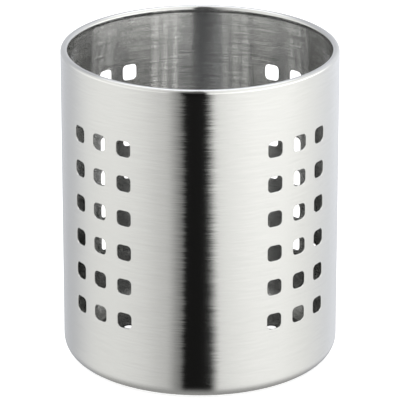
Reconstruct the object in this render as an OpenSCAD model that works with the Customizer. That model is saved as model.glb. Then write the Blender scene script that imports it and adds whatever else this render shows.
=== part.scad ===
// Cutlery basket: a round sheet-metal holder with a pierced wall, a rolled rim and a drained base.
// The wall is one sheet, rolled into a tube. Its top edge is rolled inwards into a hollow bead, and
// its foot is turned in to a flat ring that carries the spot-welded base plate.
// Origin: on the table, on the basket's axis. +Z is up, and -Y is the front.

/* [Body] */
// Outside diameter of the wall
body_d = 120; // [110:1:150]
// Height from the table to the top of the rim
body_h = 140; // [130:1:200]
// Thickness of the wall sheet
wall_t = 0.6; // [0.5:0.1:0.9]

/* [Rim] */
// Outside diameter of the rolled bead
bead_d = 3.3; // [3:0.1:5]
// Gap left between the rolled edge and the inside of the wall
bead_gap = 0.25; // [0.1:0.05:0.6]

/* [Foot] */
// Outside radius of the corner between the wall and the foot ring
foot_corner_r = 8; // [5:0.5:11]
// Width of the flat ring that the basket stands on
foot_ring_w = 4; // [3.5:0.5:6]

/* [Wall holes] */
// Width of a hole, along the wall
hole_w = 7; // [5:0.5:8.5]
// Height of a hole
hole_h = 7; // [5:0.5:9]
// Corner radius of a hole
hole_corner_r = 1.9; // [1:0.1:2.4]
// Number of groups of holes, evenly round the wall
hole_groups = 4; // [2:1:4]
// Columns of holes in a group
hole_columns = 3; // [1:1:3]
// Rows of holes in a group
hole_rows = 6; // [1:1:6]
// Distance between the columns, along the wall
column_pitch = 13.4; // [10:0.1:16]
// Distance between the rows
row_pitch = 15.55; // [10:0.05:16.5]
// Distance from the top of the rim to the middle of the top row
top_row_drop = 28.9; // [20:0.1:32]

/* [Base plate] */
// Thickness of the base plate
base_t = 0.6; // [0.5:0.1:1]
// Gap round the edge of the base plate, to the start of the wall's corner
base_gap = 0.3; // [0.2:0.1:1]
// Height that the middle of the plate is pressed up
panel_rise = 0.6; // [0.3:0.1:1.5]
// Distance from the edge of the plate to the pressed step
panel_margin = 6.2; // [5:0.2:8]
// Diameter of a drain hole
drain_d = 5; // [3:0.5:7]
// Distance from the pressed step to the nearest edge of a drain hole
drain_edge = 5.8; // [2:0.1:10]
// Number of rings of drain holes round the middle one
drain_rings = 2; // [1:1:3]
// Number of drain holes in the first ring, and more in each next ring
drains_per_ring = 6; // [3:1:6]

/* [Spot welds] */
// Number of spot welds round the foot ring
weld_count = 12; // [6:1:16]
// Diameter of the mark that a spot weld leaves
weld_d = 2.2; // [1.5:0.1:3]
// Depth of the mark that a spot weld leaves
weld_depth = 0.1; // [0.05:0.05:0.2]

/* [Hidden] */

$fn = 96;
// How far a cutting shape runs past the sheet that it cuts
overrun = 1;
body_r = body_d / 2;
bead_r = bead_d / 2;
bead_centre_r = body_r - bead_r;
bead_centre_z = body_h - bead_r;
// The bead's open part starts where its outer edge comes within the gap of the wall's inside
bead_open_angle = acos((bead_r - wall_t - bead_gap) / bead_r);
foot_flat_r = body_r - foot_corner_r;
foot_hole_r = foot_flat_r - foot_ring_w;
weld_ring_r = foot_flat_r - foot_ring_w / 2;
plate_r = foot_flat_r - base_gap;
step_outer_r = plate_r - panel_margin;
step_inner_r = step_outer_r - panel_rise;
drain_pitch = (step_inner_r - drain_edge - drain_d / 2) / drain_rings;
column_angle = column_pitch / body_r * 180 / PI;
group_angle = 360 / hole_groups;
// How far the wall curves back across half a hole's width
hole_sag = body_r - sqrt(body_r * body_r - hole_w * hole_w / 4);
punch_start = body_r - wall_t - hole_sag - overrun;
punch_end = body_r + overrun;

// A hole's outline, which is a square with round corners
module hole_outline() {
    core_w = hole_w - 2 * hole_corner_r;
    core_h = hole_h - 2 * hole_corner_r;
    square([hole_w, core_h], center = true);
    square([core_w, hole_h], center = true);
    for (x = [-1, 1], y = [-1, 1])
        translate([x * core_w / 2, y * core_h / 2])
            circle(r = hole_corner_r);
}

// A punch that goes straight through the wall at an angle from the front
module wall_punch(angle, height) {
    rotate([0, 0, angle])
        translate([0, -punch_start, height])
            rotate([90, 0, 0])
                linear_extrude(height = punch_end - punch_start)
                    hole_outline();
}

// The punches of one group, with its columns either side of the group's middle
module punch_group(middle_angle) {
    for (column = [0 : hole_columns - 1], row = [0 : hole_rows - 1])
        wall_punch(
            middle_angle + (column - (hole_columns - 1) / 2) * column_angle,
            body_h - top_row_drop - row * row_pitch
        );
}

// The marks of the spot welds, as shallow round cuts between two heights
module weld_marks(from_z, to_z) {
    for (i = [0 : weld_count - 1])
        rotate([0, 0, (i + 0.5) * 360 / weld_count])
            translate([weld_ring_r, 0, from_z])
                cylinder(d = weld_d, h = to_z - from_z);
}

// The rolled bead's section: a ring with its lower outer part left open
module bead_section() {
    translate([bead_centre_r, bead_centre_z])
        difference() {
            circle(r = bead_r);
            circle(r = bead_r - wall_t);
            polygon([
                [0, 0],
                bead_d * [cos(bead_open_angle), -sin(bead_open_angle)],
                bead_d * [1, -1],
                [bead_d, 0]
            ]);
        }
}

// The section of the foot: the round corner and the flat ring
module foot_section() {
    translate([foot_flat_r, foot_corner_r])
        difference() {
            circle(r = foot_corner_r);
            circle(r = foot_corner_r - wall_t);
            translate([-body_r, -body_r])
                square([body_r, 2 * body_r]);
            translate([-body_r, 0])
                square([2 * body_r, body_r]);
        }
    translate([foot_hole_r, 0])
        square([foot_ring_w, wall_t]);
}

// The whole wall's section, from the foot ring up to the bead
module wall_section() {
    foot_section();
    translate([body_r - wall_t, foot_corner_r])
        square([wall_t, bead_centre_z - foot_corner_r]);
    bead_section();
}

module wall() {
    color("silver")
        difference() {
            rotate_extrude()
                wall_section();
            for (group = [0 : hole_groups - 1])
                punch_group((group + 0.5) * group_angle);
            weld_marks(-overrun, weld_depth);
        }
}

// The base plate's section: a seat on the foot ring, a pressed step and a raised middle
module base_section() {
    translate([0, wall_t])
        polygon([
            [step_outer_r, 0],
            [plate_r, 0],
            [plate_r, base_t],
            [step_outer_r, base_t],
            [step_inner_r, base_t + panel_rise],
            [0, base_t + panel_rise],
            [0, panel_rise],
            [step_inner_r, panel_rise]
        ]);
}

// The drain holes: one in the middle, and rings with ever more holes round it
module drain_holes() {
    drain_depth = base_t + panel_rise + 2 * overrun;
    translate([0, 0, wall_t - overrun])
        cylinder(d = drain_d, h = drain_depth);
    for (ring = [1 : drain_rings])
        for (i = [0 : ring * drains_per_ring - 1])
            rotate([0, 0, i * 360 / (ring * drains_per_ring)])
                translate([ring * drain_pitch, 0, wall_t - overrun])
                    cylinder(d = drain_d, h = drain_depth);
}

module base_plate() {
    color("lightgray")
        difference() {
            rotate_extrude()
                base_section();
            drain_holes();
            weld_marks(wall_t + base_t - weld_depth, wall_t + base_t + overrun);
        }
}

wall();
base_plate();
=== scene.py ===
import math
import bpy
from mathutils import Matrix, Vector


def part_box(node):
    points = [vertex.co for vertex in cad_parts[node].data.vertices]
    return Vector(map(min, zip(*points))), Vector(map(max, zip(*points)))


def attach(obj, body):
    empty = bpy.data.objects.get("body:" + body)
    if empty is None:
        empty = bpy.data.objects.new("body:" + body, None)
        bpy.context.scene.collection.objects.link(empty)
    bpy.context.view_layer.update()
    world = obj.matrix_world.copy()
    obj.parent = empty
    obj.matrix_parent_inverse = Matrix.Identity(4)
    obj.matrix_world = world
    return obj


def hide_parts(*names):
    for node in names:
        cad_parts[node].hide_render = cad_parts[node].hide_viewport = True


bl_info = {
    "name": "Cutlery Basket",
    "version": (1, 0, 0),
    "blender": (4, 5, 0),
    "location": "3D View > Sidebar > Basket",
    "description": "A brushed steel cutlery basket with a pierced wall and a drained base",
    "category": "Add Mesh",
}

import bmesh
import bpy
from bpy.props import (
    FloatProperty,
    FloatVectorProperty,
    IntProperty,
    PointerProperty,
)
from mathutils import Matrix, Vector

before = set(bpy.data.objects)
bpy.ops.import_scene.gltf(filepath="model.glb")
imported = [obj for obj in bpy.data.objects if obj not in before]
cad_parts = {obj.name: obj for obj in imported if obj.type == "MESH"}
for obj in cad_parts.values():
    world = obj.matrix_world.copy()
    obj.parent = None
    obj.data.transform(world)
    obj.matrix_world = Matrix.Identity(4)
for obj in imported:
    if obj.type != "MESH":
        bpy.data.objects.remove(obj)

# Sizes are in metres. The frame's meshes lie a hair inside their true circles, so a size that is
# read from them is rounded to the millimetre, or to the tenth where the real one has a tenth.
MM = 0.001
WALL_LOW, WALL_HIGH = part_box("wall")
PLATE_LOW, PLATE_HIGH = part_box("base_plate")
BODY_R = round((WALL_HIGH.x - WALL_LOW.x) / 2, 3)
BODY_H = round(WALL_HIGH.z, 3)
PLATE_R = round((PLATE_HIGH.x - PLATE_LOW.x) / 2, 4)
FULL_TURN = 2 * math.pi
# Points closer than the first are one point, and one closer to a surface than the second is on it
SAME_PLACE = 1e-6
ON_SURFACE = 1e-5
# Angles between two faces: a cut edge of sheet has more than the first, and the edge of the
# plate's pressed step is kept sharp from the second
CUT_EDGE = math.radians(60)
STEP_EDGE = math.radians(35)
# Steps round the rim's bead, round the foot's corner and in along its ring, across a rounded cut
# edge, and round the base plate and the tent
BEAD_STEPS = 24
CORNER_STEPS = 12
RING_STEPS = 3
EDGE_STEPS = 2
PLATE_STEPS = 160
TENT_STEPS = 288


class BASKET_PG_wall(bpy.types.PropertyGroup):
    """Sizes of the pierced wall"""

    radius: FloatProperty(
        name="Radius",
        description="Outside radius of the wall",
        default=BODY_R,
        unit="LENGTH",
    )
    height: FloatProperty(
        name="Height",
        description="Height from the table to the top of the rim",
        default=BODY_H,
        unit="LENGTH",
    )
    sheet: FloatProperty(
        name="Sheet",
        description="Thickness of the sheet",
        default=0.6 * MM,
        precision=4,
        unit="LENGTH",
    )
    bead_radius: FloatProperty(
        name="Bead radius",
        description="Outside radius of the rolled rim",
        default=1.65 * MM,
        precision=5,
        unit="LENGTH",
    )
    bead_turn: FloatProperty(
        name="Bead turn",
        description="How far the sheet is rolled round at the rim",
        default=math.radians(299),
        subtype="ANGLE",
    )
    corner_radius: FloatProperty(
        name="Foot corner radius",
        description="Outside radius where the wall turns in under the plate",
        default=8 * MM,
        precision=4,
        unit="LENGTH",
    )
    foot_width: FloatProperty(
        name="Foot ring width",
        description="Width of the flat ring that the basket stands on",
        default=4 * MM,
        precision=4,
        unit="LENGTH",
    )
    hole_size: FloatProperty(
        name="Hole size",
        description="Width and height of a hole",
        default=7 * MM,
        precision=4,
        unit="LENGTH",
    )
    hole_corner: FloatProperty(
        name="Hole corner radius",
        description="Radius of a hole's corners",
        default=1.9 * MM,
        precision=4,
        unit="LENGTH",
    )
    column_pitch: FloatProperty(
        name="Column pitch",
        description="Distance between the columns of holes, along the wall",
        default=13.4 * MM,
        precision=4,
        unit="LENGTH",
    )
    row_pitch: FloatProperty(
        name="Row pitch",
        description="Distance between the rows of holes",
        default=15.55 * MM,
        precision=5,
        unit="LENGTH",
    )
    top_row_drop: FloatProperty(
        name="Top row drop",
        description="Distance from the rim to the middle of the top row",
        default=28.9 * MM,
        precision=4,
        unit="LENGTH",
    )
    columns: IntProperty(
        name="Columns",
        description="Columns of holes in a group",
        default=3,
    )
    rows: IntProperty(
        name="Rows",
        description="Rows of holes in a group",
        default=6,
    )
    groups: IntProperty(
        name="Groups",
        description="Groups of holes round the wall",
        default=4,
    )
    edge_round: FloatProperty(
        name="Edge round",
        description="Radius that the press leaves on a cut edge",
        default=0.2 * MM,
        precision=5,
        unit="LENGTH",
    )


class BASKET_PG_plate(bpy.types.PropertyGroup):
    """Sizes of the base plate"""

    radius: FloatProperty(
        name="Radius",
        description="Radius of the base plate",
        default=PLATE_R,
        precision=4,
        unit="LENGTH",
    )
    sheet: FloatProperty(
        name="Sheet",
        description="Thickness of the plate",
        default=0.6 * MM,
        precision=4,
        unit="LENGTH",
    )
    rise: FloatProperty(
        name="Panel rise",
        description="Height that the middle of the plate is pressed up",
        default=0.6 * MM,
        precision=4,
        unit="LENGTH",
    )
    margin: FloatProperty(
        name="Seat width",
        description="Distance from the plate's edge to the pressed step",
        default=6.2 * MM,
        precision=4,
        unit="LENGTH",
    )
    drain_diameter: FloatProperty(
        name="Drain hole diameter",
        description="Diameter of a drain hole",
        default=5 * MM,
        precision=4,
        unit="LENGTH",
    )
    drain_pitch: FloatProperty(
        name="Drain ring pitch",
        description="Distance between the rings of drain holes",
        default=18.3 * MM,
        precision=4,
        unit="LENGTH",
    )
    drain_rings: IntProperty(
        name="Drain rings",
        description="Rings of drain holes round the middle one",
        default=2,
    )
    drains_per_ring: IntProperty(
        name="Drains per ring",
        description="Drain holes in the first ring, and more in each next ring",
        default=6,
    )
    weld_count: IntProperty(
        name="Spot welds",
        description="Spot welds round the foot ring",
        default=12,
    )
    weld_diameter: FloatProperty(
        name="Weld mark diameter",
        description="Diameter of the mark that a spot weld leaves",
        default=2.2 * MM,
        precision=4,
        unit="LENGTH",
    )
    weld_depth: FloatProperty(
        name="Weld mark depth",
        description="Depth of the mark that a spot weld leaves",
        default=0.1 * MM,
        precision=5,
        unit="LENGTH",
    )
    edge_round: FloatProperty(
        name="Edge round",
        description="Size of the round that the press leaves on a cut edge",
        default=0.045 * MM,
        precision=5,
        unit="LENGTH",
    )


class BASKET_PG_steel(bpy.types.PropertyGroup):
    """Look of the brushed steel"""

    colour: FloatVectorProperty(
        name="Colour",
        description="Colour of the steel",
        default=(0.55, 0.55, 0.545),
        subtype="COLOR",
    )
    # Painted light: a share above 1 makes the inward faces' steel brighter than the outside's.
    inside_painted_light: FloatProperty(
        name="Inside shade",
        description="Brightness of the faces that look inwards, as a share of the outside's",
        default=1.13,
    )
    # Painted shade: this darkens the base plate's steel to stand in for the shade at the bottom of
    # the basket.
    base_painted_shade: FloatProperty(
        name="Base shade",
        description="Brightness of the base plate's duller steel, as a share of the outside's",
        default=0.3,
        subtype="FACTOR",
    )
    roughness: FloatProperty(
        name="Roughness",
        description="Roughness of the brushed surface",
        default=0.16,
        subtype="FACTOR",
    )
    inside_roughness: FloatProperty(
        name="Inside roughness",
        description="Roughness of the faces that look inwards to the axis",
        default=0.17,
        subtype="FACTOR",
    )
    bead_roughness: FloatProperty(
        name="Bead roughness",
        description="Roughness of the rolled rim, which the rolling has smoothed",
        default=0.1,
        subtype="FACTOR",
    )
    anisotropy: FloatProperty(
        name="Anisotropy",
        description="How much more the brushing blurs across its lines than along them",
        default=1.0,
        subtype="FACTOR",
    )
    line_pitch: FloatProperty(
        name="Line pitch",
        description="Distance between the brush lines that show",
        default=0.45 * MM,
        precision=5,
        unit="LENGTH",
    )
    grain_pitch: FloatProperty(
        name="Grain pitch",
        description="Distance between the fine scratches that blur the reflections",
        default=0.015 * MM,
        precision=5,
        unit="LENGTH",
    )
    grain_length: FloatProperty(
        name="Grain length",
        description="Distance over which a fine scratch fades",
        default=0.5 * MM,
        precision=4,
        unit="LENGTH",
    )
    line_length: FloatProperty(
        name="Line length",
        description="Distance over which a brush line fades",
        default=12 * MM,
        unit="LENGTH",
    )
    outside_contrast: FloatProperty(
        name="Outside line contrast",
        description="How much the brush lines change the colour on the outside",
        default=0.022,
        subtype="FACTOR",
    )
    inside_contrast: FloatProperty(
        name="Inside line contrast",
        description="How much the brush lines change the colour on the inside",
        default=0.22,
        subtype="FACTOR",
    )
    outside_sway: FloatProperty(
        name="Outside line sway",
        description="How far the outside's lines turn the surface along themselves",
        default=0.015,
        precision=3,
    )
    inside_sway: FloatProperty(
        name="Inside line sway",
        description="How far the inside's lines turn the surface along themselves",
        default=0.004,
        precision=3,
    )
    outside_tilt: FloatProperty(
        name="Outside grain tilt",
        description="How far the outside's scratches turn the surface across themselves",
        default=0.12,
    )
    inside_tilt: FloatProperty(
        name="Inside grain tilt",
        description="How far the inside's scratches turn the surface across themselves",
        default=0.34,
    )


class BASKET_PG_studio(bpy.types.PropertyGroup):
    """The studio round the basket"""

    tent_radius: FloatProperty(
        name="Tent radius",
        description="Radius of the light tent",
        default=0.9,
        unit="LENGTH",
    )
    tent_height: FloatProperty(
        name="Tent height",
        description="Height of the light tent",
        default=1.4,
        unit="LENGTH",
    )
    back_top: FloatProperty(
        name="Back top light",
        description="Brightness of the tent's top behind the basket",
        default=2.6,
    )
    side_lift: FloatProperty(
        name="Side lift",
        description="How much brighter the tent's side is above the rim than below it",
        default=0.65,
    )
    # Painted shadow: the basket's shade on the tent's floor, which the steel mirrors.
    near_shade: FloatProperty(
        name="Near shade",
        description="How much darker the floor is by the basket than far off",
        default=0.12,
        subtype="FACTOR",
    )
    # Painted shadow: brightness of the tent's floor under the basket's round corner, where the
    # basket shades it.
    painted_foot_shadow: FloatProperty(
        name="Foot tone",
        description="Brightness of the floor under the basket's round corner",
        default=0.46,
    )
    floor_white: FloatProperty(
        name="Floor lift",
        description="Brightness that the camera sees on the floor above its own",
        default=0.66,
    )


# The light tent's cloth, and its soft boxes: direction from the front, half width and soft
# edge, all in degrees, then how much each adds
TENT_CLOTH = 1.10
SOFT_BOXES = (
    ("right", 62, 6, 70, 0.53),
    ("left", -80, 4, 52, 0.25),
    ("far left", -160, 16, 42, -0.25),
    ("far right", 140, 10, 50, 0.11),
    ("front", -14, 6, 32, -0.22),
)
# The dark gap in front that the camera looks through, in degrees from the front: the slope down
# to it from the left and its depth, its left edge, and its right edge by the floor and higher up
GAP_SLOPE = (-29.4, -15.4)
GAP_SLOPE_DEPTH = 0.6
GAP_LEFT = (-17, -12.5)
GAP_RIGHT = (3, 13.4)
GAP_RIGHT_HIGH = (4.5, 9)
# In degrees: how far the gap's left edge bows to the right halfway along the floor to the
# basket, and how far its right edge moves to the right by the basket
LEFT_BOW = 2.1
RIGHT_LEAN = 5
# The gap's brightness by the floor and higher up
GAP_TONE = 0.012
GAP_HIGH_TONE = 0.2
# Heights as seen from the rim, in degrees, between which the tent changes: the gap's right edge
# and brightness, the lift of its side, and where the gap ends and the top begins
EDGE_CHANGE = (-5, 5)
GAP_CHANGE = (5, 45)
LIFT_START = (-3, 2)
LIFT_END = (10, 20)
GAP_TOP = (74, 88)
TOP_START = (40, 65)
# How much of the side's lift moves from its left to its right
LIFT_SWING = 0.5
# Directions in degrees from the front between which the lift of the side fades out
LIFT_TURN = (100, 140)
# Shares of the tent's radius: how far out the basket's shade on the floor reaches, and where
# over the basket the top gets its back brightness
NEAR_SHARE = 0.6
BACK_SHARES = (0.08, 0.5)
# How far inside and outside the wall's foot the tent's floor goes from its painted shadow to its
# open brightness
FOOT_INSIDE = 3 * MM
FOOT_OUTSIDE = 4 * MM
# Directions in degrees between which the light turns from warm to cool
COOL_TURN = (90, 160)
WARM = Vector((1.0, 1.0, 0.97))
COOL = Vector((0.965, 0.985, 1.03))

# Sizes of the brush lines' noise: its usual lowest and highest value, how strong its finer part
# is, and starting points that give the lines' paint, sway and tilt each their own draw
NOISE_RANGE = (0.3, 0.7)
NOISE_FINE = 0.6
PAINT_SEED, SWAY_SEED, TILT_SEED = 0, 40, 80
# A face looks inwards when its normal's share away from the axis is under this
LOOKS_INWARD = -0.5
# Turn from the lines to the direction that the brushing blurs, as a share of a whole turn
BLUR_TURN = 0.25

# The floor's colour, half its width, and the width of the soft edge of its painted glow inside the
# foot ring
FLOOR_COLOUR = (0.86, 0.86, 0.86, 1)
FLOOR_HALF = 6
FLOOR_EDGE = 2 * MM
# The tent's own floor lies just over the pale one. Its rings, in mm, are closer by the basket.
TENT_FLOOR = 0.4 * MM
TENT_RINGS = (0, 45, 54, 57, 59, 61, 63, 66, 70, 78, 90, 110, 150, 210, 300, 450, 650)
# Shares of the tent's height up its side, and of its radius in over its top
TENT_SIDE = (0, 0.05, 0.1, 0.15, 0.2, 0.3, 0.4, 0.5, 0.6, 0.7, 0.85, 1)
TENT_TOP = (0.85, 0.65, 0.45, 0.3, 0.15, 0)
# Times that the search for a mirrored place halves its range
HALVINGS = 24

# The camera: its sensor in mm, its lens in pixels of a picture 400 wide, its distance, its height
# over the level and its turn round the basket in degrees, and the point that it looks at
SENSOR = 36
LENS_PIXELS = 3438
PICTURE_PIXELS = 400
CAMERA_DISTANCE = 1.5
CAMERA_UP = 20.7
CAMERA_ROUND = 0.35
CAMERA_AIM = Vector((-0.00002, 0, 0.06931))


def arc(centre_r, centre_z, radius, start, end, steps):
    """Points (radius from the axis, height) along an arc of a section, after its first one."""
    angles = [start + (end - start) * (k + 1) / steps for k in range(steps)]
    return [
        (centre_r + radius * math.cos(a), centre_z + radius * math.sin(a)) for a in angles
    ]


def points(geom):
    """The points among some geometry."""
    return [g for g in geom if isinstance(g, bmesh.types.BMVert)]


def extrude(bm, edges):
    """Extrude a row of edges on the spot, and return the new points and the new row."""
    made = bmesh.ops.extrude_edge_only(bm, edges=edges)["geom"]
    verts = points(made)
    new = set(verts)
    row = [g for g in made if isinstance(g, bmesh.types.BMEdge) and new.issuperset(g.verts)]
    return verts, row


def grow(bm, edges, step, count):
    """Extrude a row of edges by the same step, again and again."""
    for _ in range(count):
        verts, edges = extrude(bm, edges)
        bmesh.ops.translate(bm, verts=verts, vec=step)


def grow_ring(bm, edges, section):
    """Extrude a round edge loop along the points (radius, height) of a section."""
    for radius, height in section:
        verts, edges = extrude(bm, edges)
        at = verts[0].co
        share = radius / at.xy.length
        bmesh.ops.translate(bm, verts=verts, vec=(0, 0, height - at.z))
        bmesh.ops.scale(bm, verts=verts, vec=(share, share, 1))


def spin(bm, section, steps):
    """Turn a section of points (x, y, z) all the way round the upright axis."""
    verts = [bm.verts.new(place) for place in section]
    edges = [bm.edges.new(pair) for pair in zip(verts, verts[1:])]
    bmesh.ops.spin(
        bm,
        geom=verts + edges,
        cent=(0, 0, 0),
        axis=(0, 0, 1),
        angle=FULL_TURN,
        steps=steps,
        use_merge=True,
    )
    bmesh.ops.remove_doubles(bm, verts=bm.verts[:], dist=SAME_PLACE)


def edges_where(bm, test):
    """The open edges whose two ends both pass a test of their place."""
    return [e for e in bm.edges if e.is_boundary and all(test(v.co) for v in e.verts)]


def add_rectangle(bm, width, height):
    """A flat face of that width and height, in the middle."""
    made = bmesh.ops.create_grid(bm, x_segments=1, y_segments=1, size=0.5)
    bmesh.ops.scale(bm, verts=made["verts"], vec=(width, height, 1))
    return made["verts"]


def hole_cell(bm, wall, side_cuts=8, corner_cuts=6, rings=3):
    """One flat cell of the sheet with a round-cornered hole in its middle."""
    rim = add_rectangle(bm, wall.hole_size, wall.hole_size)
    bmesh.ops.bevel(
        bm,
        geom=rim,
        offset=wall.hole_corner,
        offset_type="ABSOLUTE",
        segments=corner_cuts,
        profile=0.5,
        affect="VERTICES",
        material=-1,
    )
    # The rim's straight sides are its only edges longer than half a side
    half_side = wall.hole_size / 2 - wall.hole_corner
    sides = [e for e in bm.edges if e.calc_length() > half_side]
    bmesh.ops.subdivide_edges(bm, edges=sides, cuts=1)
    cell = set(add_rectangle(bm, wall.column_pitch, wall.row_pitch))
    around = [e for e in bm.edges if cell.issuperset(e.verts)]
    bmesh.ops.subdivide_edges(bm, edges=around, cuts=side_cuts - 1)
    bmesh.ops.delete(bm, geom=bm.faces[:], context="FACES_ONLY")
    loops = bm.edges[:]
    bmesh.ops.bridge_loops(bm, edges=loops)
    spokes = [e for e in bm.edges if e not in loops]
    bmesh.ops.subdivide_edges(bm, edges=spokes, cuts=rings - 1, use_grid_fill=True)


def copies(bm, geom, steps):
    """Copy geometry once for each vector in steps."""
    for step in steps:
        made = bmesh.ops.duplicate(bm, geom=geom)["geom"]
        bmesh.ops.translate(bm, verts=points(made), vec=step)


def flat_quarter(bm, wall, plain_cuts=32, end_cuts=6):
    """The flat sheet of one group of holes and the plain sheet either side, above and below it."""
    hole_cell(bm, wall)
    across = [(k * wall.column_pitch, 0, 0) for k in range(1, wall.columns)]
    copies(bm, bm.verts[:] + bm.edges[:] + bm.faces[:], across)
    down = [(0, -k * wall.row_pitch, 0) for k in range(1, wall.rows)]
    copies(bm, bm.verts[:] + bm.edges[:] + bm.faces[:], down)
    bmesh.ops.remove_doubles(bm, verts=bm.verts[:], dist=SAME_PLACE)

    half_group = wall.columns * wall.column_pitch / 2
    half_quarter = math.pi * wall.radius / wall.groups
    top_row = wall.height - wall.top_row_drop
    bmesh.ops.translate(
        bm,
        verts=bm.verts[:],
        vec=(wall.column_pitch / 2 - half_group, top_row, 0),
    )
    plain_step = (half_quarter - half_group) / plain_cuts * 2
    for side in (-1, 1):
        ends = edges_where(bm, lambda co: abs(co.x - side * half_group) < SAME_PLACE)
        grow(bm, ends, (side * plain_step, 0, 0), plain_cuts // 2)

    upper = top_row + wall.row_pitch / 2
    lower = upper - wall.rows * wall.row_pitch
    up_step = (wall.height - wall.bead_radius - upper) / end_cuts
    down_step = (lower - wall.corner_radius) / end_cuts
    tops = edges_where(bm, lambda co: abs(co.y - upper) < SAME_PLACE)
    grow(bm, tops, (0, up_step, 0), end_cuts)
    feet = edges_where(bm, lambda co: abs(co.y - lower) < SAME_PLACE)
    grow(bm, feet, (0, -down_step, 0), end_cuts)


def roll_up(bm, wall):
    """Roll the flat sheet round the axis: along it is round the wall, and up it is height."""
    for v in bm.verts:
        angle = v.co.x / wall.radius
        v.co = (wall.radius * math.sin(angle), -wall.radius * math.cos(angle), v.co.y)
    quarter = bm.verts[:] + bm.edges[:] + bm.faces[:]
    for k in range(wall.groups):
        turn = Matrix.Rotation((k + 0.5) * FULL_TURN / wall.groups, 3, "Z")
        geom = quarter
        if k:
            geom = bmesh.ops.duplicate(bm, geom=quarter)["geom"]
            turn = Matrix.Rotation(k * FULL_TURN / wall.groups, 3, "Z")
        bmesh.ops.rotate(bm, verts=points(geom), matrix=turn, cent=(0, 0, 0))
    bmesh.ops.remove_doubles(bm, verts=bm.verts[:], dist=SAME_PLACE)


def rim_section(wall):
    """The rolled rim's section, from the wall over the top and in."""
    centre_r = wall.radius - wall.bead_radius
    centre_z = wall.height - wall.bead_radius
    return arc(centre_r, centre_z, wall.bead_radius, 0, wall.bead_turn, BEAD_STEPS)


def foot_section(wall):
    """The foot's section, round the corner and in along the flat ring."""
    flat_r = wall.radius - wall.corner_radius
    radius = wall.corner_radius
    corner = arc(flat_r, radius, radius, 0, -math.pi / 2, CORNER_STEPS)
    ring_step = wall.foot_width / RING_STEPS
    return corner + [(flat_r - ring_step * (k + 1), 0) for k in range(RING_STEPS)]


def finish_mesh(bm, name, material):
    """Turn the bmesh into a smooth object of that name."""
    mesh = bpy.data.meshes.new(name)
    bm.to_mesh(mesh)
    bm.free()
    mesh.materials.append(material)
    mesh.shade_smooth()
    made = bpy.data.objects.new(name, mesh)
    bpy.context.scene.collection.objects.link(made)
    return made


def round_cut_edges(bm, size):
    """Round every sharp edge of the sheet a little, as a press and a wheel leave it."""
    shared = [e for e in bm.edges if len(e.link_faces) == 2]
    sharp = [e for e in shared if e.calc_face_angle() > CUT_EDGE]
    bmesh.ops.bevel(
        bm,
        geom=sharp,
        offset=size,
        segments=EDGE_STEPS,
        profile=0.5,
        affect="EDGES",
        material=-1,
        clamp_overlap=True,
    )


def true_normals(mesh, wall):
    """Give the straight part of the wall the normals of a true cylinder, right up to its holes."""
    low = wall.corner_radius
    high = wall.height - wall.bead_radius
    normals = []
    for v in mesh.vertices:
        out = Vector((v.co.x, v.co.y, 0))
        depth = wall.radius - out.length
        keep = low - SAME_PLACE < v.co.z < high + SAME_PLACE
        if keep and abs(depth) < ON_SURFACE:
            normals.append(out.normalized())
        elif keep and abs(depth - wall.sheet) < ON_SURFACE:
            normals.append(-out.normalized())
        else:
            normals.append(Vector((0, 0, 0)))
    mesh.normals_split_custom_set_from_vertices(normals)


def punch(bm, places, diameter, low, high, sides=48):
    """Round cutters at those places, from one height to another.

    Each is turned by half a side, so that no corner of it falls on an edge of the plate.
    """
    half_side = Matrix.Rotation(math.pi / sides, 4, "Z")
    for place in places:
        stand = Matrix.Translation((*place, (low + high) / 2)) @ half_side
        bmesh.ops.create_cone(
            bm,
            cap_ends=True,
            segments=sides,
            radius1=diameter / 2,
            radius2=diameter / 2,
            depth=high - low,
            matrix=stand,
        )


def ring_places(radius, count, start=0.0):
    """Places round a circle."""
    angles = [(k + start) * FULL_TURN / count for k in range(count)]
    return [(radius * math.cos(a), radius * math.sin(a)) for a in angles]


def weld_places(plate, wall):
    """Places of the spot welds, along the middle of the foot ring."""
    radius = wall.radius - wall.corner_radius - wall.foot_width / 2
    return ring_places(radius, plate.weld_count, 0.5)


def apply_cut(piece, cutter, edge_round=0.0):
    """Cut one object out of another for good, round the edges if asked, and drop the cutter."""
    cut = piece.modifiers.new("cut", "BOOLEAN")
    cut.operation = "DIFFERENCE"
    cut.solver = "EXACT"
    cut.object = cutter
    if edge_round:
        edge = piece.modifiers.new("edge", "BEVEL")
        edge.limit_method = "ANGLE"
        edge.angle_limit = CUT_EDGE
        edge.width = edge_round
        edge.segments = EDGE_STEPS
    bpy.context.view_layer.update()
    seen = piece.evaluated_get(bpy.context.evaluated_depsgraph_get())
    mesh = bpy.data.meshes.new_from_object(seen)
    piece.modifiers.clear()
    old = piece.data
    piece.data = mesh
    bpy.data.meshes.remove(old)
    bpy.data.objects.remove(cutter)


def link(tree, source, target):
    """Link one socket to another."""
    tree.links.new(source, target)


def feed(tree, source, target):
    """Link a socket to another, or set a plain value on it."""
    if isinstance(source, bpy.types.NodeSocket):
        link(tree, source, target)
    else:
        target.default_value = source


def value_node(tree, kind, sources=(), **settings):
    """A node of that kind with its settings, fed by the sources in order."""
    node = tree.nodes.new(kind)
    for name, setting in settings.items():
        setattr(node, name, setting)
    for socket, source in zip(node.inputs, sources):
        feed(tree, source, socket)
    return node


def object_place(tree):
    """The place of a point of the surface in its object's own coordinates."""
    return tree.nodes.new("ShaderNodeTexCoord").outputs["Object"]


def number(tree, operation, *sources):
    """The result of a sum on numbers."""
    return value_node(tree, "ShaderNodeMath", sources, operation=operation).outputs[0]


def vector(tree, operation, *sources):
    """The result of a sum on vectors."""
    node = value_node(tree, "ShaderNodeVectorMath", sources, operation=operation)
    return node.outputs["Value" if operation in ("LENGTH", "DOT_PRODUCT") else "Vector"]


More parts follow.
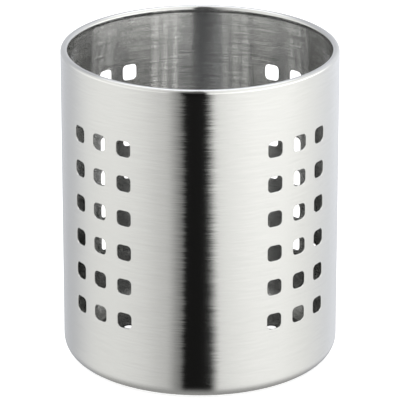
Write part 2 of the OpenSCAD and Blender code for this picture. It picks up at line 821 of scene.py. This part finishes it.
def scaled(tree, source, factor):
    """A vector times a number."""
    node = value_node(tree, "ShaderNodeVectorMath", (source,), operation="SCALE")
    feed(tree, factor, node.inputs["Scale"])
    return node.outputs["Vector"]


def spread(tree, source, from_low, from_high, to_low, to_high):
    """A number moved from one range to another."""
    sources = (source, from_low, from_high, to_low, to_high)
    return value_node(tree, "ShaderNodeMapRange", sources).outputs["Result"]


def streaks(tree, x, y, across, length, pitch, seed):
    """Noise drawn out along the brush lines, from about -1 to 1."""
    step = number(tree, "ADD", number(tree, "DIVIDE", across, pitch), seed)
    sides = [number(tree, "DIVIDE", side, length) for side in (x, y)]
    place = value_node(tree, "ShaderNodeCombineXYZ", (*sides, step))
    noise = tree.nodes.new("ShaderNodeTexNoise")
    noise.inputs["Scale"].default_value = 1
    noise.inputs["Detail"].default_value = 1
    noise.inputs["Roughness"].default_value = NOISE_FINE
    link(tree, place.outputs[0], noise.inputs["Vector"])
    return spread(tree, noise.outputs[0], *NOISE_RANGE, -1, 1)


def brushed_steel(name, look, brightness, inside_top):
    """Steel with fine lines round the axis, which blur its reflections across them.

    Faces that look inwards have the inside's finish, and painted light that brightens them,
    up to the height inside_top. The colour is scaled by brightness, which darkens the base
    plate with painted shade.
    """
    material = bpy.data.materials.new(name)
    material.use_nodes = True
    tree = material.node_tree
    shader = tree.nodes["Principled BSDF"]
    shader.inputs["Metallic"].default_value = 1
    shader.inputs["Anisotropic"].default_value = look.anisotropy
    shader.inputs["Anisotropic Rotation"].default_value = BLUR_TURN

    x, y, z = value_node(tree, "ShaderNodeSeparateXYZ", (object_place(tree),)).outputs
    surface = tree.nodes.new("ShaderNodeNewGeometry").outputs["Normal"]

    # A brush line runs a quarter turn round the axis from the point's own direction
    back = number(tree, "MULTIPLY", y, -1)
    along = value_node(tree, "ShaderNodeCombineXYZ", (back, x, 0)).outputs[0]
    line = vector(tree, "NORMALIZE", along)
    link(tree, line, shader.inputs["Tangent"])
    spoke = value_node(tree, "ShaderNodeCombineXYZ", (x, y, 0)).outputs[0]
    facing = vector(tree, "DOT_PRODUCT", surface, vector(tree, "NORMALIZE", spoke))
    outward = number(tree, "GREATER_THAN", facing, LOOKS_INWARD)
    outside = number(tree, "MAXIMUM", outward, number(tree, "GREATER_THAN", z, inside_top))
    rough = look.roughness
    if inside_top:
        rough = spread(tree, outside, 0, 1, look.inside_roughness, look.roughness)
    feed(tree, rough, shader.inputs["Roughness"])

    # Across the lines: distance from the axis plus height, so they go on round the corners
    across = number(tree, "ADD", vector(tree, "LENGTH", along), z)
    paint = streaks(tree, x, y, across, look.line_length, look.line_pitch, PAINT_SEED)
    sway = streaks(tree, x, y, across, look.line_length, look.line_pitch, SWAY_SEED)
    tilt = streaks(tree, x, y, across, look.grain_length, look.grain_pitch, TILT_SEED)

    contrast = spread(tree, outside, 0, 1, look.inside_contrast, look.outside_contrast)
    change = number(tree, "MULTIPLY", paint, contrast)
    # Painted light: the inward faces' colour is raised above the outside's, on top of the brush
    # lines' random tone.
    shade = number(tree, "ADD", change, spread(tree, outside, 0, 1, look.inside_painted_light, 1))
    # The base plate passes a brightness under 1 here: painted shade for the dark bottom of the
    # basket.
    plain = [part * brightness for part in look.colour]
    link(tree, scaled(tree, plain, shade), shader.inputs["Base Color"])

    # Each line leans the surface a little along and across itself
    most_sway = spread(tree, outside, 0, 1, look.inside_sway, look.outside_sway)
    most_tilt = spread(tree, outside, 0, 1, look.inside_tilt, look.outside_tilt)
    turn = number(tree, "MULTIPLY", sway, most_sway)
    lean = number(tree, "MULTIPLY", tilt, most_tilt)
    swayed = scaled(tree, line, turn)
    tilted = scaled(tree, vector(tree, "CROSS_PRODUCT", surface, line), lean)
    leaned = vector(tree, "ADD", vector(tree, "ADD", surface, swayed), tilted)
    link(tree, vector(tree, "NORMALIZE", leaned), shader.inputs["Normal"])
    return material


def smooth_bead(material, look, start, end):
    """Make the steel smoother from one height to another, where the rim is rolled."""
    tree = material.node_tree
    height = value_node(tree, "ShaderNodeSeparateXYZ", (object_place(tree),)).outputs["Z"]
    roughness = tree.nodes["Principled BSDF"].inputs["Roughness"]
    brushed = roughness.links[0].from_socket
    link(tree, spread(tree, height, start, end, brushed, look.bead_roughness), roughness)


class BASKET_OT_wall(bpy.types.Operator):
    """Make the pierced wall with its rolled rim and turned-in foot"""

    bl_idname = "basket.wall"
    bl_label = "Wall"

    def execute(self, context):
        wall = context.scene.basket_wall
        bm = bmesh.new()
        flat_quarter(bm, wall)
        roll_up(bm, wall)
        top = wall.height - wall.bead_radius
        rim = edges_where(bm, lambda co: abs(co.z - top) < SAME_PLACE)
        grow_ring(bm, rim, rim_section(wall))
        foot = edges_where(bm, lambda co: abs(co.z - wall.corner_radius) < SAME_PLACE)
        grow_ring(bm, foot, foot_section(wall))
        bmesh.ops.recalc_face_normals(bm, faces=bm.faces[:])
        bmesh.ops.solidify(bm, geom=bm.faces[:], thickness=wall.sheet)
        bmesh.ops.recalc_face_normals(bm, faces=bm.faces[:])
        round_cut_edges(bm, wall.edge_round)
        look = context.scene.basket_steel
        bead_low = wall.height - 2 * wall.bead_radius
        steel = brushed_steel("wall_brushed_steel", look, 1, bead_low)
        smooth_bead(steel, look, bead_low, bead_low + wall.bead_radius)
        made = finish_mesh(bm, "pierced_wall", steel)
        marks = bmesh.new()
        plate = context.scene.basket_plate
        punch(marks, weld_places(plate, wall), plate.weld_diameter, -MM, plate.weld_depth)
        apply_cut(made, finish_mesh(marks, "cutter", steel))
        made.data.set_sharp_from_angle(angle=CUT_EDGE)
        true_normals(made.data, wall)
        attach(made, "root")
        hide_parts("wall")
        return {"FINISHED"}


class BASKET_OT_base_plate(bpy.types.Operator):
    """Make the pressed base plate with its drain holes and weld marks"""

    bl_idname = "basket.base_plate"
    bl_label = "Base plate"

    def execute(self, context):
        plate = context.scene.basket_plate
        wall = context.scene.basket_wall
        low = wall.sheet
        step_outer = plate.radius - plate.margin
        step_inner = step_outer - plate.rise
        section = [
            (0, low + plate.rise),
            (step_inner, low + plate.rise),
            (step_outer, low),
            (plate.radius, low),
            (plate.radius, low + plate.sheet),
            (step_outer, low + plate.sheet),
            (step_inner, low + plate.sheet + plate.rise),
            (0, low + plate.sheet + plate.rise),
        ]
        bm = bmesh.new()
        spin(bm, [(radius, 0, height) for radius, height in section], PLATE_STEPS)
        bmesh.ops.recalc_face_normals(bm, faces=bm.faces[:])
        look = context.scene.basket_steel
        # Painted shade: the base plate's steel is made darker for the shade at the bottom of the
        # basket.
        steel = brushed_steel("base_brushed_steel", look, look.base_painted_shade, 0)
        made = finish_mesh(bm, "drained_base_plate", steel)

        cut = bmesh.new()
        top = low + plate.sheet + plate.rise
        drains = [(0, 0)]
        for ring in range(1, plate.drain_rings + 1):
            count = ring * plate.drains_per_ring
            drains += ring_places(ring * plate.drain_pitch, count)
        punch(cut, drains, plate.drain_diameter, 0, top + plate.sheet)
        marks_low = low + plate.sheet - plate.weld_depth
        punch(cut, weld_places(plate, wall), plate.weld_diameter, marks_low, top + plate.sheet)
        apply_cut(made, finish_mesh(cut, "cutter", steel), plate.edge_round)
        made.data.set_sharp_from_angle(angle=STEP_EDGE)
        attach(made, "root")
        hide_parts("base_plate")
        return {"FINISHED"}


def smooth(low, high, value):
    """How far a value is from low to high, from 0 to 1, with soft ends."""
    share = min(max((value - low) / (high - low), 0), 1)
    return share * share * (3 - 2 * share)


def tent_tone(degrees):
    """The tent's brightness in a compass direction."""
    tone = TENT_CLOTH
    for _, middle, half, soft, change in SOFT_BOXES:
        off = abs((degrees - middle + 180) % 360 - 180)
        tone += change * (1 - smooth(half, half + soft, off))
    return tone


def mirror_angle(x, y, radius):
    """Where round the wall a place on the floor is mirrored to someone far off in front."""
    reach = math.hypot(x, y)
    turn = math.atan2(abs(x), -y)
    low, high = turn / 2, math.pi / 2
    if reach * math.sin(turn) < radius and turn > math.pi / 2:
        return math.copysign(high, x)
    for _ in range(HALVINGS):
        middle = (low + high) / 2
        if reach * math.sin(2 * middle - turn) < radius * math.sin(middle):
            low = middle
        else:
            high = middle
    return math.copysign(low, x)


def mix(low, high, share):
    """A value that share of the way from low to high."""
    return low + (high - low) * share


def gap_share(degrees, height, near):
    """How far a place in the tent lies in the dark gap in front, from 0 to 1."""
    left = degrees - LEFT_BOW * 4 * near * (1 - near)
    slope = 1 - GAP_SLOPE_DEPTH * smooth(*GAP_SLOPE, left)
    open_left = slope * (1 - smooth(*GAP_LEFT, left))
    up = smooth(*EDGE_CHANGE, height)
    right = [mix(by_floor, high, up) for by_floor, high in zip(GAP_RIGHT, GAP_RIGHT_HIGH)]
    open_right = smooth(*right, degrees - RIGHT_LEAN * near)
    return (1 - max(open_left, open_right)) * (1 - smooth(*GAP_TOP, height))


def tent_colour(place, studio, wall):
    """The tent's colour at a place: by direction, with the basket's shadow painted on its floor by
    the foot, and its own at the top.
    """
    reach = place.xy.length
    degrees = math.degrees(2 * mirror_angle(place.x, place.y, wall.radius))
    height = math.degrees(math.atan2(place.z - wall.height, reach))
    lift = smooth(*LIFT_START, height) * (1 - smooth(*LIFT_END, height))
    lift *= studio.side_lift * (1 + LIFT_SWING * math.sin(math.radians(degrees)))
    lift *= 1 - smooth(*LIFT_TURN, abs(degrees))
    tone = tent_tone(degrees) * (1 + lift)
    back = smooth(*[share * studio.tent_radius for share in BACK_SHARES], place.y)
    tone = mix(tone, studio.back_top, back * smooth(*TOP_START, height))

    near = 1 - smooth(wall.radius, NEAR_SHARE * studio.tent_radius, reach)
    gap_tone = mix(GAP_TONE, GAP_HIGH_TONE, smooth(*GAP_CHANGE, height))
    tone = mix(tone, gap_tone, gap_share(degrees, height, near))
    # Painted shadow: the tent's floor is darkened by the basket and under its corner, standing in
    # for the basket's shadow on the floor that the steel mirrors.
    if place.z < MM:
        tone *= 1 - studio.near_shade * near
        open_floor = smooth(wall.radius - FOOT_INSIDE, wall.radius + FOOT_OUTSIDE, reach)
        tone = mix(studio.painted_foot_shadow, tone, open_floor)
        # Painted shadow: under the foot ring and the plate, the tent's floor goes black.
        flat_r = wall.radius - wall.corner_radius
        tone *= smooth(flat_r - wall.foot_width, flat_r, reach)
    return mix(WARM, COOL, smooth(*COOL_TURN, abs(degrees))) * tone


class BASKET_OT_studio(bpy.types.Operator):
    """Make the pale floor, the light tent round the basket and the camera"""

    bl_idname = "basket.studio"
    bl_label = "Studio"

    def execute(self, context):
        scene = context.scene
        studio = scene.basket_studio
        scene.view_settings.view_transform = "Standard"
        self.make_floor(studio, scene.basket_wall)
        self.make_world(scene)
        self.make_tent(studio, scene.basket_wall)
        self.make_camera(scene)
        return {"FINISHED"}

    def make_floor(self, studio, wall):
        """A pale floor that the camera sees as white, with the basket's soft shadow on it round
        the foot and a painted glow under the basket.
        """
        bm = bmesh.new()
        bmesh.ops.create_grid(bm, x_segments=1, y_segments=1, size=FLOOR_HALF)
        material = bpy.data.materials.new("pale_floor")
        material.use_nodes = True
        tree = material.node_tree
        tree.nodes.clear()
        ray = tree.nodes.new("ShaderNodeLightPath").outputs
        seen = number(tree, "MAXIMUM", ray["Is Camera Ray"], ray["Is Glossy Ray"])
        seen = number(tree, "MAXIMUM", seen, ray["Is Transmission Ray"])
        reach = vector(tree, "LENGTH", object_place(tree))
        flat_r = wall.radius - wall.corner_radius
        # Painted light: inside the foot ring, where the basket shades it, the floor glows at full
        # white for the camera, so it shows white through the drain holes. Further out it glows at
        # the floor lift.
        open_floor = spread(tree, reach, flat_r - FLOOR_EDGE, flat_r, 1, studio.floor_white)
        matt = value_node(tree, "ShaderNodeBsdfDiffuse", (FLOOR_COLOUR,)).outputs[0]
        lift = tree.nodes.new("ShaderNodeEmission")
        link(tree, number(tree, "MULTIPLY", seen, open_floor), lift.inputs["Strength"])
        both = value_node(tree, "ShaderNodeAddShader", (matt, lift.outputs[0])).outputs[0]
        value_node(tree, "ShaderNodeOutputMaterial", (both,))
        floor = finish_mesh(bm, "floor", material)

    def make_world(self, scene):
        """A plain white room at plain strength."""
        world = bpy.data.worlds.new("white_room")
        world.use_nodes = True
        background = world.node_tree.nodes["Background"]
        background.inputs["Color"].default_value = (1, 1, 1, 1)
        background.inputs["Strength"].default_value = 1
        scene.world = world

    def make_tent(self, studio, wall):
        """A closed light tent that only the steel sees, brighter or darker by direction."""
        radius, height = studio.tent_radius, studio.tent_height
        section = [(ring * MM, TENT_FLOOR) for ring in TENT_RINGS]
        section += [(radius, TENT_FLOOR + height * share) for share in TENT_SIDE]
        section += [(radius * share, TENT_FLOOR + height) for share in TENT_TOP]
        bm = bmesh.new()
        spin(bm, [(0, -reach, up) for reach, up in section], TENT_STEPS)
        tones = bm.verts.layers.float_color.new("tone")
        for v in bm.verts:
            colour = tent_colour(v.co, studio, wall)
            v[tones] = (*colour, 1)
        material = bpy.data.materials.new("tent_cloth")
        material.use_nodes = True
        tree = material.node_tree
        tree.nodes.clear()
        tone = value_node(tree, "ShaderNodeAttribute", attribute_name="tone")
        light = value_node(tree, "ShaderNodeEmission", (tone.outputs["Color"],))
        value_node(tree, "ShaderNodeOutputMaterial", (light.outputs[0],))
        tent = finish_mesh(bm, "light_tent", material)
        tent.visible_camera = False
        tent.visible_diffuse = False
        tent.visible_shadow = False
        tent.visible_transmission = False

    def make_camera(self, scene):
        """A long lens in front and above, as in the photo."""
        data = bpy.data.cameras.new("camera")
        data.sensor_width = SENSOR
        data.lens = LENS_PIXELS * SENSOR / PICTURE_PIXELS
        camera = bpy.data.objects.new("camera", data)
        up, turn = math.radians(CAMERA_UP), math.radians(CAMERA_ROUND)
        level = math.cos(up)
        back = Vector((math.sin(turn) * level, -math.cos(turn) * level, math.sin(up)))
        camera.location = CAMERA_AIM + back * CAMERA_DISTANCE
        camera.rotation_euler = (-back).to_track_quat("-Z", "Y").to_euler()
        scene.collection.objects.link(camera)
        scene.camera = camera


class BASKET_PT_maker(bpy.types.Panel):
    """Sizes, looks and makers of the basket"""

    bl_idname = "BASKET_PT_maker"
    bl_label = "Cutlery Basket"
    bl_space_type = "VIEW_3D"
    bl_region_type = "UI"
    bl_category = "Basket"

    def draw(self, context):
        scene = context.scene
        for title, group in (
            ("Wall", scene.basket_wall),
            ("Base plate", scene.basket_plate),
            ("Steel", scene.basket_steel),
            ("Studio", scene.basket_studio),
        ):
            box = self.layout.box()
            box.label(text=title)
            for name in group.__annotations__:
                box.prop(group, name)
        for maker in MAKERS:
            self.layout.operator(maker.bl_idname)


MAKERS = (BASKET_OT_wall, BASKET_OT_base_plate, BASKET_OT_studio)
GROUPS = {
    "basket_wall": BASKET_PG_wall,
    "basket_plate": BASKET_PG_plate,
    "basket_steel": BASKET_PG_steel,
    "basket_studio": BASKET_PG_studio,
}


def register():
    """Add the basket's settings, makers and panel."""
    for group in GROUPS.values():
        bpy.utils.register_class(group)
    for maker in MAKERS:
        bpy.utils.register_class(maker)
    bpy.utils.register_class(BASKET_PT_maker)
    for name, group in GROUPS.items():
        setattr(bpy.types.Scene, name, PointerProperty(type=group))


def unregister():
    """Take away what register added."""
    for name in GROUPS:
        delattr(bpy.types.Scene, name)
    bpy.utils.unregister_class(BASKET_PT_maker)
    for maker in reversed(MAKERS):
        bpy.utils.unregister_class(maker)
    for group in reversed(GROUPS.values()):
        bpy.utils.unregister_class(group)


def main():
    """Make the basket and its studio."""
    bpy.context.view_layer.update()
    register()
    bpy.ops.basket.wall()
    bpy.ops.basket.base_plate()
    bpy.ops.basket.studio()


if __name__ == "__main__":
    main()
